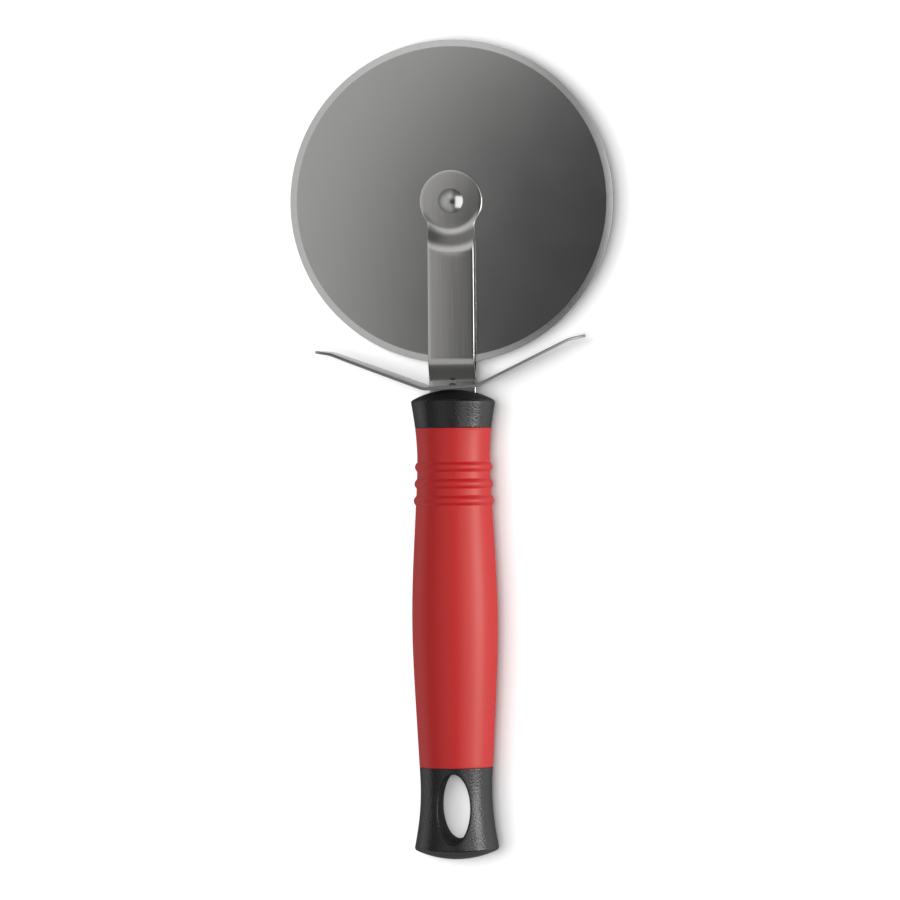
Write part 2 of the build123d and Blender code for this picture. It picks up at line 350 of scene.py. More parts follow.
def sheet_piece(name, rim, upper, lower, gauge, upper_round, lower_round, columns=26, crease_deg=28):
    """A solid of sheet. The rim holds (half width, place) pairs from one end on the axis to the other,
    upper and lower give its two faces over (across, place), and both edges are rounded."""
    turns = [math.radians(18 * i) for i in range(6)]
    levels = [(upper_round * (1 - math.sin(t)), upper_round * (1 - math.cos(t))) for t in turns]
    levels += [(lower_round * (1 - math.cos(t)), gauge - lower_round * (1 - math.sin(t))) for t in turns]
    normals = []
    for i, (half, place) in enumerate(rim):
        if i in (0, len(rim) - 1):
            normals.append((0, -1 if i == 0 else 1))
            continue
        step = Vector((rim[i + 1][0] - rim[i - 1][0], rim[i + 1][1] - rim[i - 1][1])).normalized()
        normals.append((step.y, -step.x))
    points = []
    faces = []

    def point(half, place, depth):
        top = Vector(upper(half, place))
        return top + (Vector(lower(half, place)) - top) * (depth / gauge)

    loop = [(i, 1) for i in range(len(rim))] + [(i, -1) for i in range(len(rim) - 2, 0, -1)]
    for i, hand in loop:
        for inset, depth in levels:
            half = max(rim[i][0] - normals[i][0] * inset, 0)
            points.append(point(hand * half, rim[i][1] - normals[i][1] * inset, depth))
    for a in range(len(loop)):
        b = (a + 1) % len(loop)
        for k in range(len(levels) - 1):
            row_a = a * len(levels) + k
            row_b = b * len(levels) + k
            faces.append((row_a, row_b, row_b + 1, row_a + 1))
    for inset, depth in (levels[0], levels[-1]):
        base = len(points)
        for i in range(len(rim)):
            half = max(rim[i][0] - normals[i][0] * inset, 0)
            for j in range(columns + 1):
                across = half * math.sin(math.pi * (j / columns - 0.5))
                points.append(point(across, rim[i][1] - normals[i][1] * inset, depth))
        for i in range(len(rim) - 1):
            for j in range(columns):
                corner = base + i * (columns + 1) + j
                faces.append((corner, corner + 1, corner + columns + 2, corner + columns + 1))
    return finished(name, points, faces, crease_deg)


def cut_out(piece, tool, crease_deg=28):
    """Take a tool's shape out of a piece, which is left a plain mesh with no material."""
    cut = piece.modifiers.new("cut", "BOOLEAN")
    cut.operation = "DIFFERENCE"
    cut.solver = "EXACT"
    cut.object = tool
    piece.data = bpy.data.meshes.new_from_object(piece.evaluated_get(bpy.context.evaluated_depsgraph_get()))
    piece.modifiers.clear()
    piece.data.materials.clear()
    piece.data.shade_smooth()
    piece.data.set_sharp_from_angle(angle=math.radians(crease_deg))


blend_across = arm_half + neck_blend
blend_place = math.sqrt((ear_radius + neck_blend) ** 2 - blend_across**2)
neck_turn = math.pi - math.atan2(blend_across, blend_place)
rim = [(ear_radius * math.sin(t), -ear_radius * math.cos(t)) for t in steps(0, neck_turn, math.radians(3))]
for t in steps(neck_turn - math.pi / 2, 0, math.radians(5)):
    turn = math.pi + t
    rim.append((blend_across + neck_blend * math.cos(turn), blend_place + neck_blend * math.sin(turn)))
for start, end, gap_mm in (
    (blend_place, upper_bends_end, 0.35),
    (upper_bends_end, lower_bends_start, 1.6),
    (lower_bends_start, lower_bends_end, 0.25),
    (lower_bends_end, shoulder, 1),
):
    rim += [(arm_half, place) for place in steps(start, end, gap_mm * mm)]
rim.append((arm_half, shoulder))
rim += [(tang_half, place) for place in steps(shoulder + shoulder_step, arm_length - tang_corner, 6 * mm)]
for t in steps(0, math.pi / 2, math.radians(15)) + [math.pi / 2]:
    corner_place = arm_length - end_crown - tang_corner * (1 - math.sin(t))
    rim.append((tang_half - tang_corner * (1 - math.cos(t)), corner_place))
rim.append((0, arm_length))

outer_height = arm_face(outer_side(inner_corners, sheet), ear_gap + sheet)
inner_height = arm_face(inner_corners, ear_gap)

# Brushed stainless steel: long straight scratches along the strip, which draw every highlight out sideways.
# They are drawn 0.35 mm apart, because the real ones are finer than the picture.
brushed_steel, tree, shader, where = new_material("brushed_stainless_steel", Metallic=1.0)
brushed_along = {"Vector": where, "Scale": (1 / (0.35 * mm), 1 / (26 * mm), 1 / (0.6 * mm))}
along = add(tree, "ShaderNodeMapping", brushed_along)
scratches = add(tree, "ShaderNodeTexNoise", {"Vector": along.outputs[0], "Scale": 1.0, "Detail": 3.0})
tones = {"Factor": scratches.outputs["Fac"], "A": linear("#BAB9B7"), "B": linear("#C9C8C6")}
tone = add(tree, "ShaderNodeMix", tones, data_type="RGBA")
blur = add(tree, "ShaderNodeMapRange", {"Value": scratches.outputs["Fac"], "To Min": 0.17, "To Max": 0.22})
scratched_in = {"Height": scratches.outputs["Fac"], "Strength": 0.05, "Distance": 0.02 * mm}
lines = add(tree, "ShaderNodeBump", scratched_in)
drive(shader, Base_Color=tone.outputs["Result"], Roughness=blur.outputs[0], Normal=lines.outputs[0])

drills = bmesh.new()
holes = [(rivet_hole, 0.0), (fork_rivet_hole, fork_rivet_place)]
holes += [(pin_hole, place) for place in pin_places]
for radius, place in holes:
    drill = bmesh.ops.create_cone(
        drills, cap_ends=True, segments=64, radius1=radius, radius2=radius, depth=drill_length
    )
    bmesh.ops.translate(drills, verts=drill["verts"], vec=pivot - Vector((0, place, 0)))
drill_mesh = bpy.data.meshes.new("drills")
drills.to_mesh(drill_mesh)
drills.free()
drill_tool = placed("drills", drill_mesh)

for name, node, hand in (("arm_front", "front_arm", 1), ("arm_rear", "rear_arm", -1)):

    def outer(across, place, hand=hand):
        off_pivot = math.hypot(across, place)
        from_edge = ear_radius - off_pivot
        if place > 0:
            from_edge = max(from_edge, arm_half - abs(across))
        on_ear = ear_crown * (off_pivot / ear_radius) ** 2
        on_strip = arm_crown * (across / arm_half) ** 2
        share = min(max((place - crown_blend_start) / crown_blend_length, 0), 1)
        crown = on_ear + (on_strip - on_ear) * share**2 * (3 - 2 * share)
        crown += edge_fall * max(1 - from_edge / edge_fall_width, 0) ** 3
        return pivot + Vector((across, -place, hand * (outer_height(across, place) - crown)))

    def inner(across, place, hand=hand):
        return pivot + Vector((across, -place, hand * inner_height(across, place)))

    arm = sheet_piece(name, rim, outer, inner, sheet, rolled_edge, cut_edge)
    cut_out(arm, drill_tool)
    arm.data.materials.append(brushed_steel)
    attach(arm, "handle")
    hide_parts(node)
bpy.data.objects.remove(drill_tool)

# Pivot rivet
# A polished stainless rivet through both ears. A spinning tool has formed a shallow dome on each of its
# ends, which leaves faint rays in the polish.
rivet_radius = 2.2 * mm
head_radius = 3.85 * mm
head_rim = 0.3 * mm
head_ease = 0.1 * mm
ear_face = ear_gap + sheet
head_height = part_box("pivot_rivet")[1].z - pivot.z - ear_face
head_ball = (head_radius**2 + (head_height - head_rim) ** 2) / (2 * (head_height - head_rim))
dome_turn = math.asin(head_radius / head_ball)
head = [(rivet_radius, 0.0), (rivet_radius, ear_face), (head_radius - head_ease, ear_face)]
head += [(head_radius, ear_face + head_ease), (head_radius, ear_face + head_rim)]
for t in steps(dome_turn, 0, math.radians(2))[1:]:
    head.append((head_ball * math.sin(t), ear_face + head_height - head_ball * (1 - math.cos(t))))
head.append((0.0, ear_face + head_height))
rivet_outline = head + [(radius, -place) for radius, place in reversed(head)]
rivet = turned("pivot_rivet_domed", rivet_outline, round_pivot, sides=128)

# Polished stainless steel: a bright mirror, made uneven by faint rays from the spinning tool.
polished_steel, tree, shader, where = new_material("polished_stainless_steel", Metallic=1.0)
centred = add(tree, "ShaderNodeMapping", {"Vector": where, "Location": tuple(-pivot)})
split = add(tree, "ShaderNodeSeparateXYZ", {"Vector": centred.outputs[0]})
turn = add(tree, "ShaderNodeMath", {0: split.outputs["Y"], 1: split.outputs["X"]}, operation="ARCTAN2")
rays_at = add(tree, "ShaderNodeCombineXYZ", {"X": turn.outputs[0]})
rays = add(tree, "ShaderNodeTexNoise", {"Vector": rays_at.outputs[0], "Scale": 9.0, "Detail": 3.0})
tones = {"Factor": rays.outputs["Fac"], "A": linear("#A9A8A7"), "B": linear("#C0C0BF")}
tone = add(tree, "ShaderNodeMix", tones, data_type="RGBA")
blur = add(tree, "ShaderNodeMapRange", {"Value": rays.outputs["Fac"], "To Min": 0.15, "To Max": 0.23})
drive(shader, Base_Color=tone.outputs["Result"], Roughness=blur.outputs[0])
rivet.data.materials.append(polished_steel)
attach(rivet, "handle")
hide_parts("pivot_rivet")

# Fork rivet
# A small flush stainless rivet that closes the two arms above the guard. A punch has upset its ends and left
# two short dents across each, one before and one behind a blunt middle.
fork_radius = 1.3 * mm
fork_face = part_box("fork_rivet")[1].z - pivot.z
fork_ease = 0.05 * mm
dent_place = 0.85 * mm
dent_half_width = 0.42 * mm
dent_half_length = 1.25 * mm
dent_depth = 0.3 * mm
dent_facing = 0.1
fork_half = [(fork_radius, 0.0), (fork_radius, fork_face - fork_ease), (fork_radius - fork_ease, fork_face)]
fork_half += [(radius, fork_face) for radius in steps(fork_radius - 2 * fork_ease, 0, fork_ease)]
fork_half.append((0.0, fork_face))


def round_fork_rivet(radius, place, turn):
    """A point turned about the fork rivet's axis, sunk where the punch has left its dents."""
    if abs(place) == fork_face:
        across = radius * math.cos(turn) / dent_half_length
        off_dent = (abs(radius * math.sin(turn)) - dent_place) / dent_half_width
        place -= math.copysign(dent_depth * max(1 - across**2 - off_dent**2, 0), place)
    return round_pivot(radius, place, turn) - Vector((0, fork_rivet_place, 0))


fork_rivet = turned(
    "fork_rivet_punched",
    fork_half + [(radius, -place) for radius, place in reversed(fork_half)],
    round_fork_rivet,
    sides=64,
    crease_deg=50,
)

# Darkened stainless steel: a dull dark grey with a fine mottle, laid on the punch dents as painted shade in
# their hollows.
dent_shade_steel, tree, shader, where = new_material("stainless_steel_with_painted_dent_shade", Metallic=1.0, Roughness=0.45)
dent_mottle = add(tree, "ShaderNodeTexNoise", {"Vector": where, "Scale": 1 / (0.3 * mm), "Detail": 2.0})
tones = {"Factor": dent_mottle.outputs["Fac"], "A": linear("#6C6966"), "B": linear("#878480")}
tone = add(tree, "ShaderNodeMix", tones, data_type="RGBA")
drive(shader, Base_Color=tone.outputs["Result"])

fork_rivet.data.materials.append(brushed_steel)
fork_rivet.data.materials.append(dent_shade_steel)
# Faces sunk in the punch dents get the darker steel, which is painted shade in the hollows.
for face in fork_rivet.data.polygons:
    sunk = fork_face - abs(face.center.z - pivot.z)
    if sunk > fork_ease / 2 and abs(face.normal.z) > dent_facing:
        face.material_index = 1
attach(fork_rivet, "handle")
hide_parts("fork_rivet")

# Guard
# A leaf of 0.9 mm stainless sheet, blanked, slotted for the tang and bent so that both wings sweep
# forward and their tips lie flatter. It sits on the collar, a little askew because its slot has play.
guard_gauge = 0.9 * mm
guard_half_span = 42.05 * mm
guard_half_width = 12 * mm
guard_place = 57.65 * mm
guard_flat = 8.2 * mm
guard_tip = 5 * mm
guard_sweep = math.radians(23.25)
guard_tip_slope = math.radians(9.25)
guard_skew = math.radians(2.85)
guard_tilt = math.radians(2.7)
wing_end = guard_half_span - guard_tip
wing_rise = (wing_end - guard_flat) * math.tan(guard_sweep)
past_tip = 1 * mm
guard_corners = [
    (guard_flat, 0.0, 6 * mm),
    (wing_end, wing_rise, 12 * mm),
    (guard_half_span + past_tip, wing_rise + (guard_tip + past_tip) * math.tan(guard_tip_slope), 0.0),
]
guard_round = 0.2 * mm
guard_rim_steps = 120
rim_facing = 0.8
slot_play = 0.1 * mm
slot_front = 49.4 * mm
slot_back = shoulder + 0.3 * mm


def guard_line(along):
    """How far the guard's handle-side face stands forward at a place along its span."""
    return bent_height(abs(along), guard_corners)


def guard_slope(along):
    """Slope of that face at a place along its span, as an angle."""
    step = 0.05 * mm
    return math.atan2(guard_line(along + step) - guard_line(along - step), 2 * step)


def on_tool(point):
    """A point of the guard, turned askew and set in its place on the tang."""
    x, y, z = point
    askew_x = x * math.cos(guard_skew) - y * math.sin(guard_skew)
    askew_y = x * math.sin(guard_skew) + y * math.cos(guard_skew)
    tilted_y = askew_y * math.cos(guard_tilt) - z * math.sin(guard_tilt)
    tilted_z = askew_y * math.sin(guard_tilt) + z * math.cos(guard_tilt)
    return pivot + Vector((askew_x, tilted_y - guard_place, tilted_z))


def guard_back(up, along):
    """A point on the guard's handle-side face."""
    return on_tool((along, guard_line(along), up))


def guard_front(up, along):
    """A point on the guard's blade-side face."""
    slope = guard_slope(along)
    place = along - guard_gauge * math.sin(slope)
    return on_tool((place, guard_line(along) + guard_gauge * math.cos(slope), up))


guard_rim = []
for i in range(guard_rim_steps + 1):
    turn = math.pi * i / guard_rim_steps
    guard_rim.append((guard_half_width * math.sin(turn), -guard_half_span * math.cos(turn)))
guard = sheet_piece(
    "guard_leaf", guard_rim, guard_front, guard_back, guard_gauge, guard_round, guard_round, columns=20
)
slot = bmesh.new()
slot_middle = pivot - Vector((0, (slot_front + slot_back) / 2, 0))
slot_size = Vector((2 * (arm_half + slot_play), slot_back - slot_front, 2 * (sheet + slot_play)))
bmesh.ops.create_cube(slot, size=1, matrix=Matrix.LocRotScale(slot_middle, None, slot_size))
slot_mesh = bpy.data.meshes.new("tang_slot")
slot.to_mesh(slot_mesh)
slot.free()
slot_tool = placed("tang_slot", slot_mesh)
cut_out(guard, slot_tool)

# Satin stainless steel: barrel-polished after blanking, so it has no one grain, only a soft even blur
# with faint cloudy patches.
satin_steel, tree, shader, where = new_material("satin_stainless_steel", Metallic=1.0)
patches = add(tree, "ShaderNodeTexNoise", {"Vector": where, "Scale": 1 / (6 * mm), "Detail": 4.0})
tones = {"Factor": patches.outputs["Fac"], "A": linear("#A8A8A6"), "B": linear("#B8B8B6")}
tone = add(tree, "ShaderNodeMix", tones, data_type="RGBA")
blur = add(tree, "ShaderNodeMapRange", {"Value": patches.outputs["Fac"], "To Min": 0.34, "To Max": 0.44})
drive(shader, Base_Color=tone.outputs["Result"], Roughness=blur.outputs[0])

# Sheared stainless steel: the blanked rim is torn, so it is rough, grey and finely broken.
sheared_steel, tree, shader, where = new_material("sheared_stainless_steel", Metallic=1.0, Roughness=0.5)
torn = add(tree, "ShaderNodeTexNoise", {"Vector": where, "Scale": 1 / (0.4 * mm), "Detail": 3.0})
tones = {"Factor": torn.outputs["Fac"], "A": linear("#7F7E7C"), "B": linear("#979694")}
tone = add(tree, "ShaderNodeMix", tones, data_type="RGBA")
torn_in = {"Height": torn.outputs["Fac"], "Strength": 0.5, "Distance": 0.05 * mm}
broken = add(tree, "ShaderNodeBump", torn_in)
drive(shader, Base_Color=tone.outputs["Result"], Normal=broken.outputs[0])

guard.data.materials.append(satin_steel)
guard.data.materials.append(sheared_steel)
for face in guard.data.polygons:
    slope = guard_slope((face.center.x - pivot.x) / math.cos(guard_skew))
    through = on_tool((-math.sin(slope), math.cos(slope), 0)) - on_tool((0, 0, 0))
    if abs(face.normal.dot(through)) < rim_facing:
        face.material_index = 1
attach(guard, "handle")
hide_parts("guard")

# Collar
# A moulded ferrule of black polypropylene with a domed top, pushed over the core's nose and closing
# the front of the grip. The mould was spark-eroded, which leaves a fine even grain.
collar_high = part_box("collar")[1].y
grip_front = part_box("grip")[1].y
grip_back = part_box("grip")[0].y
tool_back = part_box("end_cap")[0].y
dome_height = 3.5 * mm
cap_dome_height = 3.1 * mm
collar_rim = collar_high - dome_height
cap_rim = tool_back + cap_dome_height
grip_length = grip_front - grip_back
cap_length = grip_back - cap_rim
rim_radius = 13.05 * mm
cap_rim_radius = 13.1 * mm

# Where the handle's side passes: shares of the grip's and the cap's lengths, and radii in millimetres.
stations = [(collar_rim, rim_radius)]
for share, radius in (
    (0, 11.78),
    (0.091, 11.18),
    (0.187, 11.5),
    (0.273, 12.0),
    (0.579, 13.2),
    (0.813, 12.35),
    (1, 11.32),
):
    stations.append((grip_front - share * grip_length, radius * mm))
for share, radius in ((0.276, 11.06), (0.689, 11.75)):
    stations.append((grip_back - share * cap_length, radius * mm))
stations.append((cap_rim, cap_rim_radius))
rim_round = 0.8 * mm
parting_round = 0.25 * mm
past_parting = 1.5 * parting_round
nose_radius = 9.28 * mm
nose_end = collar_rim - 1 * mm
dome_gap = math.radians(1.5)
side_gap = 0.4 * mm


def bends_of(knots):
    """Second derivatives of the smooth curve through (place, radius) knots, free at both ends."""
    count = len(knots)
    gaps = [knots[i + 1][0] - knots[i][0] for i in range(count - 1)]
    rises = [(knots[i + 1][1] - knots[i][1]) / gaps[i] for i in range(count - 1)]
    ratio = [0.0] * count
    value = [0.0] * count
    for i in range(1, count - 1):
        divisor = 2 * (gaps[i - 1] + gaps[i]) - gaps[i - 1] * ratio[i - 1]
        ratio[i] = gaps[i] / divisor
        value[i] = (6 * (rises[i] - rises[i - 1]) - gaps[i - 1] * value[i - 1]) / divisor
    bends = [0.0] * count
    for i in range(count - 2, 0, -1):
        bends[i] = value[i] - ratio[i] * bends[i + 1]
    return bends


knots = sorted(stations)
knot_bends = bends_of(knots)


def handle_radius(place):
    """Radius of the handle's smooth side at a place along Y."""
    i = 0
    while i < len(knots) - 2 and place > knots[i + 1][0]:
        i += 1
    gap = knots[i + 1][0] - knots[i][0]
    a = (knots[i + 1][0] - place) / gap
    b = 1 - a
    curve = ((a**3 - a) * knot_bends[i] + (b**3 - b) * knot_bends[i + 1]) * gap**2 / 6
    return a * knots[i][1] + b * knots[i + 1][1] + curve


def dome(radius, height, rim_place, toward, gap):
    """Points of a shallow dome, from its crown on the axis to its rim."""
    ball = (radius**2 + height**2) / (2 * height)
    turns = steps(0, math.asin(radius / ball), gap) + [math.asin(radius / ball)]
    return [(ball * math.sin(t), rim_place + toward * (height - ball * (1 - math.cos(t)))) for t in turns]


def eased(before, corner, after, size, count=6):
    """A rounded corner between two straight stretches, drawn from one tangent point to the other."""
    corner = Vector(corner)
    start = corner + (Vector(before) - corner).normalized() * size
    end = corner + (Vector(after) - corner).normalized() * size
    curve = []
    for i in range(count + 1):
        t = i / count
        curve.append(tuple(start * (1 - t) ** 2 + corner * 2 * t * (1 - t) + end * t**2))
    return curve


def round_handle(radius, place, turn):
    """A point turned about the handle's axis, from its upper side."""
    return Vector((radius * math.sin(turn), place, pivot.z + radius * math.cos(turn)))


def side_run(start, end, gap):
    """Points along the handle's side between two places."""
    return [(handle_radius(place), place) for place in steps(start, end, gap) + [end]]


crown = dome(rim_radius, dome_height, collar_rim, 1, dome_gap)
collar_side = side_run(collar_rim, grip_front, side_gap)
collar_outline = [point for point in crown if point[0] < rim_radius - rim_round]
collar_outline += eased(crown[-2], crown[-1], collar_side[2], rim_round)
side_end = grip_front + past_parting
collar_outline += [point for point in collar_side if side_end < point[1] < collar_rim - rim_round]
collar_outline += eased(collar_side[-2], collar_side[-1], (0, grip_front), parting_round)
collar_outline += [(nose_radius, grip_front), (nose_radius, nose_end), (0, nose_end)]
collar = turned("collar_ferrule", collar_outline, round_handle)
cut_out(collar, slot_tool)
bpy.data.objects.remove(slot_tool)

# Moulded black polypropylene: a deep black whose sparked grain breaks the gloss into fine glints and leaves
# it nearly dull at a glance along it. The grain is drawn 0.55 mm across so that it shows.
black_plastic, tree, shader, where = new_material(
    "moulded_black_polypropylene", IOR=1.49, Specular_IOR_Level=0.52
)
pebbles = add(tree, "ShaderNodeTexNoise", {"Vector": where, "Scale": 1 / (0.55 * mm), "Detail": 3.0})
tones = {"Factor": pebbles.outputs["Fac"], "A": linear("#0B0B0D"), "B": linear("#141316")}
tone = add(tree, "ShaderNodeMix", tones, data_type="RGBA")
glints = {"Value": pebbles.outputs["Fac"], "From Min": 0.35, "From Max": 0.65, "To Min": 0.21, "To Max": 0.29}
blur = add(tree, "ShaderNodeMapRange", glints)
glance = add(tree, "ShaderNodeLayerWeight", {"Blend": 0.5}).outputs["Facing"]
glancing = {"Value": glance, "From Min": 0.24, "From Max": 0.74, "To Min": 0.0, "To Max": 0.65}
dulled = add(tree, "ShaderNodeMapRange", glancing)
blur = add(tree, "ShaderNodeMath", {0: blur.outputs[0], 1: dulled.outputs[0]}, operation="ADD")
sparked_in = {"Height": pebbles.outputs["Fac"], "Strength": 1.0, "Distance": 0.12 * mm}
grainy = add(tree, "ShaderNodeBump", sparked_in)
drive(shader, Base_Color=tone.outputs["Result"], Roughness=blur.outputs[0], Normal=grainy.outputs[0])
collar.data.materials.append(black_plastic)
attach(collar, "handle")
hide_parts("collar")

# Core and cross pins
# A glass-filled nylon core, moulded with a slot for the tang and a socket for the end cap, and two steel
# pins driven through core and tang. The grip, collar and end cap hide them.

# Moulded glass-filled nylon: a dull near-black, mottled where the fibres come to the skin.
nylon, tree, shader, where = new_material("moulded_glass_filled_nylon", Roughness=0.55, IOR=1.53)
fibres = add(tree, "ShaderNodeTexNoise", {"Vector": where, "Scale": 1 / (0.6 * mm), "Detail": 4.0})
tones = {"Factor": fibres.outputs["Fac"], "A": linear("#1B1B1C"), "B": linear("#303032")}
tone = add(tree, "ShaderNodeMix", tones, data_type="RGBA")
drive(shader, Base_Color=tone.outputs["Result"])
coat("handle_core", nylon)
coat("tang_pins", turned_steel)

# Grip
# A sleeve of matt red silicone rubber, moulded with three raised rings near its front and pulled over
# the core. The rings are the rule of a small node tree, which turns the whole sleeve from its outline.
grip_wall = 1.8 * mm
ring_count = 3
ring_pitch = 5.17 * mm
first_ring = 0.115 * grip_length
ring_height = 0.72 * mm
ring_width = 2.8 * mm
ring_blend = 0.45 * mm
grip_sides = 160
neck_gap = 0.8 * mm
ring_gap = 0.16 * mm
belly_gap = 1.2 * mm
bore_gap = 4 * mm

# Moulded silicone rubber: matt, still duller where it turns from the eye, with a few cloudy patches
# where hands have polished it.
silicone, tree, shader, where = new_material(
    "moulded_red_silicone",
    IOR=1.43,
    Specular_IOR_Level=0.76,
    Specular_Tint=(1.0, 0.97, 0.84, 1.0),
)
cloud = add(tree, "ShaderNodeTexNoise", {"Vector": where, "Scale": 1 / (18 * mm), "Detail": 3.0})
speck = add(tree, "ShaderNodeTexNoise", {"Vector": where, "Scale": 1 / (0.5 * mm), "Detail": 2.0})
tones = {"Factor": cloud.outputs["Fac"], "A": linear("#BE0E17"), "B": linear("#C6111A")}
tone = add(tree, "ShaderNodeMix", tones, data_type="RGBA")
blur = add(tree, "ShaderNodeMapRange", {"Value": cloud.outputs["Fac"], "To Min": 0.42, "To Max": 0.48})
glance = add(tree, "ShaderNodeLayerWeight", {"Blend": 0.5}).outputs["Facing"]
glancing = {"Value": glance, "From Min": 0.25, "From Max": 0.9, "To Min": 0.0, "To Max": 0.42}
dulled = add(tree, "ShaderNodeMapRange", glancing)
blur = add(tree, "ShaderNodeMath", {0: blur.outputs[0], 1: dulled.outputs[0]}, operation="ADD")
matt = add(tree, "ShaderNodeBump", {"Height": speck.outputs["Fac"], "Strength": 0.25, "Distance": 0.03 * mm})
drive(shader, Base_Color=tone.outputs["Result"], Roughness=blur.outputs[0], Normal=matt.outputs[0])

ring_start = grip_front - first_ring + ring_width
ring_end = grip_front - first_ring - (ring_count - 1) * ring_pitch - ring_width
front_corner = (handle_radius(grip_front), grip_front)
back_corner = (handle_radius(grip_back), grip_back)
grip_outer = eased((0, grip_front), front_corner, (front_corner[0], grip_back), parting_round)
grip_outer += side_run(grip_front - past_parting, ring_start, neck_gap)
grip_outer += side_run(ring_start, ring_end, ring_gap)[1:]
grip_outer += side_run(ring_end, grip_back + past_parting, belly_gap)[1:]
grip_outer += eased((back_corner[0], grip_front), back_corner, (0, grip_back), parting_round)
grip_inner = side_run(grip_back, grip_front, bore_gap)
grip_inner = [(radius - grip_wall, place) for radius, place in grip_inner]
outline_mesh = bpy.data.meshes.new("sleeve_outline")
outline_mesh.from_pydata([(radius, place, 0) for radius, place in grip_outer + grip_inner], [], [])
skin_flag = outline_mesh.attributes.new("outer_skin", "FLOAT", "POINT")
skin_flag.data.foreach_set("value", [1.0] * len(grip_outer) + [0.0] * len(grip_inner))
grip_maker = placed("sleeve_outline", outline_mesh)

tree = bpy.data.node_groups.new("sleeve_with_rings", "GeometryNodeTree")
tree.interface.new_socket("Outline", in_out="INPUT", socket_type="NodeSocketGeometry")
sleeve_sizes = {
    "Sides": ("NodeSocketInt", grip_sides),
    "Ring Count": ("NodeSocketInt", ring_count),
    "First Ring": ("NodeSocketFloat", grip_front - first_ring),
    "Ring Pitch": ("NodeSocketFloat", ring_pitch),
    "Ring Height": ("NodeSocketFloat", ring_height),
    "Ring Width": ("NodeSocketFloat", ring_width),
    "Ring Blend": ("NodeSocketFloat", ring_blend),
    "Axis Height": ("NodeSocketFloat", pivot.z),
}
for name, (kind, _) in sleeve_sizes.items():
    tree.interface.new_socket(name, in_out="INPUT", socket_type=kind)
tree.interface.new_socket("Material", in_out="INPUT", socket_type="NodeSocketMaterial")
tree.interface.new_socket("Sleeve", in_out="OUTPUT", socket_type="NodeSocketGeometry")
given = add(tree, "NodeGroupInput", {}).outputs

# The outline row and the side that each point of a plain grid stands for.
sums = {name: given[name] for name in sleeve_sizes}
size = add(tree, "GeometryNodeAttributeDomainSize", {"Geometry": given["Outline"]})
sums["points"] = size.outputs["Point Count"]
sums["index"] = add(tree, "GeometryNodeInputIndex", {}).outputs[0]
for name, operation, *terms in (
    ("rows", "ADD", "points", 1),
    ("columns", "ADD", "Sides", 1),
    ("past index", "ADD", "index", 0.5),
    ("rows before", "DIVIDE", "past index", "columns"),
    ("row", "FLOOR", "rows before"),
    ("points before", "MULTIPLY", "row", "columns"),
    ("column", "SUBTRACT", "index", "points before"),
    ("outline row", "FLOORED_MODULO", "row", "points"),
):
    inputs = {i: sums.get(term, term) for i, term in enumerate(terms)}
    sums[name] = add(tree, "ShaderNodeMath", inputs, operation=operation).outputs[0]
grid = add(tree, "GeometryNodeMeshGrid", {"Vertices X": sums["rows"], "Vertices Y": sums["columns"]})
position = add(tree, "GeometryNodeInputPosition", {}).outputs[0]
flag = add(tree, "GeometryNodeInputNamedAttribute", {"Name": "outer_skin"}, data_type="FLOAT")
flag = flag.outputs["Attribute"]
for name, value, kind in (("point", position, "FLOAT_VECTOR"), ("outer", flag, "FLOAT")):
    inputs = {"Geometry": given["Outline"], "Value": value, "Index": sums["outline row"]}
    sums[name] = add(tree, "GeometryNodeSampleIndex", inputs, data_type=kind).outputs[0]
split = add(tree, "ShaderNodeSeparateXYZ", {"Vector": sums["point"]})
sums["side"] = split.outputs["X"]
sums["place"] = split.outputs["Y"]

# Its distance from the nearest ring's middle, the ring's round swell there, and its place on the sleeve.
for name, operation, *terms in (
    ("behind first", "SUBTRACT", "First Ring", "place"),
    ("pitches", "DIVIDE", "behind first", "Ring Pitch"),
    ("whole", "ROUND", "pitches"),
    ("not before", "MAXIMUM", "whole", 0),
    ("last ring", "SUBTRACT", "Ring Count", 1),
    ("nearest", "MINIMUM", "not before", "last ring"),
    ("off pitches", "SUBTRACT", "pitches", "nearest"),
    ("off ring", "MULTIPLY", "off pitches", "Ring Pitch"),
    ("half width", "MULTIPLY", "Ring Width", 0.5),
    ("width squared", "POWER", "half width", 2),
    ("height squared", "POWER", "Ring Height", 2),
    ("both squared", "ADD", "width squared", "height squared"),
    ("two heights", "MULTIPLY", "Ring Height", 2),
    ("ball", "DIVIDE", "both squared", "two heights"),
    ("ball squared", "POWER", "ball", 2),
    ("off squared", "POWER", "off ring", 2),
    ("remainder", "SUBTRACT", "ball squared", "off squared"),
    ("kept", "MAXIMUM", "remainder", 0),
    ("arc", "SQRT", "kept"),
    ("sunk", "SUBTRACT", "ball", "Ring Height"),
    ("swell", "SUBTRACT", "arc", "sunk"),
    ("soft swell", "SMOOTH_MAX", "swell", 0, "Ring Blend"),
    ("radius", "MULTIPLY_ADD", "soft swell", "outer", "side"),
    ("turn share", "DIVIDE", "column", "Sides"),
    ("turn", "MULTIPLY", "turn share", 2 * math.pi),
    ("sine", "SINE", "turn"),
    ("cosine", "COSINE", "turn"),
    ("across", "MULTIPLY", "radius", "sine"),
    ("up", "MULTIPLY_ADD", "radius", "cosine", "Axis Height"),
):
    inputs = {i: sums.get(term, term) for i, term in enumerate(terms)}
    sums[name] = add(tree, "ShaderNodeMath", inputs, operation=operation).outputs[0]
place = add(tree, "ShaderNodeCombineXYZ", {"X": sums["across"], "Y": sums["place"], "Z": sums["up"]})
wrapped = add(
    tree, "GeometryNodeSetPosition", {"Geometry": grid.outputs["Mesh"], "Position": place.outputs[0]}
)
closed = add(tree, "GeometryNodeMergeByDistance", {"Geometry": wrapped.outputs[0], "Distance": 2 * weld})
real = add(tree, "GeometryNodeRealizeInstances", {"Geometry": closed.outputs[0]})
